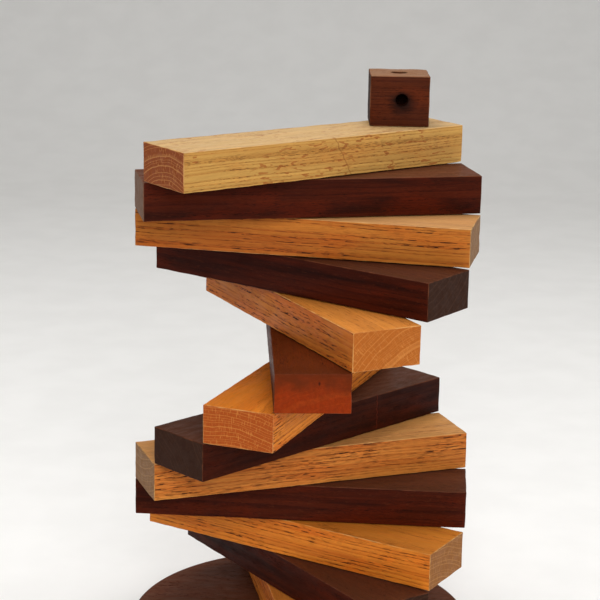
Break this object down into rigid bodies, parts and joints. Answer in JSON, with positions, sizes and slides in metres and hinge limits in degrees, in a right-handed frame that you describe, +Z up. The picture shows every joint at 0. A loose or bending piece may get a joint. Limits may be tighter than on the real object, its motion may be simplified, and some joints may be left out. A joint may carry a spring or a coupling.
{
  "type": "twisted wooden tower incense burner",
  "caption": "Tower of oak and walnut bars that swivel in a spiral on one spindle over a round base, with a hollow incense burner block on the top bar.",
  "frame": {"origin": "on the spindle's axis, in the plane that the felt pads stand on", "axes": "+Z up the spindle; +X to the viewer's right and +Y away from the viewer when the burner block's small hole faces the viewer"},
  "size_m": [0.266, 0.266, 0.4493],
  "materials": {
    "oak": "oiled oak, satin",
    "walnut": "oiled walnut, satin",
    "base_walnut": "oiled walnut, satin",
    "block_walnut": "oiled walnut, satin, sooted round the front hole",
    "steel": "zinc plated, dull",
    "brass": "turned, lightly tarnished",
    "felt": "dense wool felt"
  },
  "bodies": {
    "base": {"base": "base_walnut", "foot_pad_1": "felt", "foot_pad_2": "felt", "foot_pad_3": "felt", "foot_pad_4": "felt", "swivel_washer_01": "steel"},
    "bar_01": {"oak_bar_01": "oak", "swivel_washer_02": "steel"},
    "bar_02": {"walnut_bar_02": "walnut", "swivel_washer_03": "steel"},
    "bar_03": {"oak_bar_03": "oak", "swivel_washer_04": "steel"},
    "bar_04": {"walnut_bar_04": "walnut", "swivel_washer_05": "steel"},
    "bar_05": {"oak_bar_05": "oak", "swivel_washer_06": "steel"},
    "bar_06": {"walnut_bar_06": "walnut", "swivel_washer_07": "steel"},
    "bar_07": {"oak_bar_07": "oak", "swivel_washer_08": "steel"},
    "bar_08": {"walnut_bar_08": "walnut", "swivel_washer_09": "steel"},
    "bar_09": {"oak_bar_09": "oak", "swivel_washer_10": "steel"},
    "bar_10": {"walnut_bar_10": "walnut", "swivel_washer_11": "steel"},
    "bar_11": {"oak_bar_11": "oak", "swivel_washer_12": "steel"},
    "bar_12": {"walnut_bar_12": "walnut", "swivel_washer_13": "steel"},
    "bar_13": {"oak_bar_13": "oak", "threaded_insert": "brass", "spindle_rod": "steel", "nut_washer": "steel", "lock_nut": "steel"},
    "ember_dish": {"ember_dish": "brass"},
    "burner_block": {"burner_block": "block_walnut"}
  },
  "joints": [
    {"name": "bar_01_swivel", "type": "hinge", "parent": "base", "child": "bar_01", "pos_m": [0, 0, 0.03965], "axis": [0, 0, 1], "continuous": true},
    {"name": "bar_02_swivel", "type": "hinge", "parent": "base", "child": "bar_02", "pos_m": [0, 0, 0.06935], "axis": [0, 0, 1], "continuous": true},
    {"name": "bar_03_swivel", "type": "hinge", "parent": "base", "child": "bar_03", "pos_m": [0, 0, 0.09905], "axis": [0, 0, 1], "continuous": true},
    {"name": "bar_04_swivel", "type": "hinge", "parent": "base", "child": "bar_04", "pos_m": [0, 0, 0.12875], "axis": [0, 0, 1], "continuous": true},
    {"name": "bar_05_swivel", "type": "hinge", "parent": "base", "child": "bar_05", "pos_m": [0, 0, 0.15845], "axis": [0, 0, 1], "continuous": true},
    {"name": "bar_06_swivel", "type": "hinge", "parent": "base", "child": "bar_06", "pos_m": [0, 0, 0.18815], "axis": [0, 0, 1], "continuous": true},
    {"name": "bar_07_swivel", "type": "hinge", "parent": "base", "child": "bar_07", "pos_m": [0, 0, 0.21785], "axis": [0, 0, 1], "continuous": true},
    {"name": "bar_08_swivel", "type": "hinge", "parent": "base", "child": "bar_08", "pos_m": [0, 0, 0.24755], "axis": [0, 0, 1], "continuous": true},
    {"name": "bar_09_swivel", "type": "hinge", "parent": "base", "child": "bar_09", "pos_m": [0, 0, 0.27725], "axis": [0, 0, 1], "continuous": true},
    {"name": "bar_10_swivel", "type": "hinge", "parent": "base", "child": "bar_10", "pos_m": [0, 0, 0.30695], "axis": [0, 0, 1], "continuous": true},
    {"name": "bar_11_swivel", "type": "hinge", "parent": "base", "child": "bar_11", "pos_m": [0, 0, 0.33665], "axis": [0, 0, 1], "continuous": true},
    {"name": "bar_12_swivel", "type": "hinge", "parent": "base", "child": "bar_12", "pos_m": [0, 0, 0.36635], "axis": [0, 0, 1], "continuous": true},
    {"name": "bar_13_swivel", "type": "hinge", "parent": "base", "child": "bar_13", "pos_m": [0, 0, 0.39605], "axis": [0, 0, 1], "continuous": true},
    {"name": "dish_swivel", "type": "hinge", "parent": "bar_13", "child": "ember_dish", "pos_m": [0.06829, 0.05827, 0.4106], "axis": [0, 0, 1], "continuous": true},
    {"name": "block_lift", "type": "slide", "parent": "ember_dish", "child": "burner_block", "axis": [0, 0, 1], "range_m": [0, 0.06]}
  ]
}
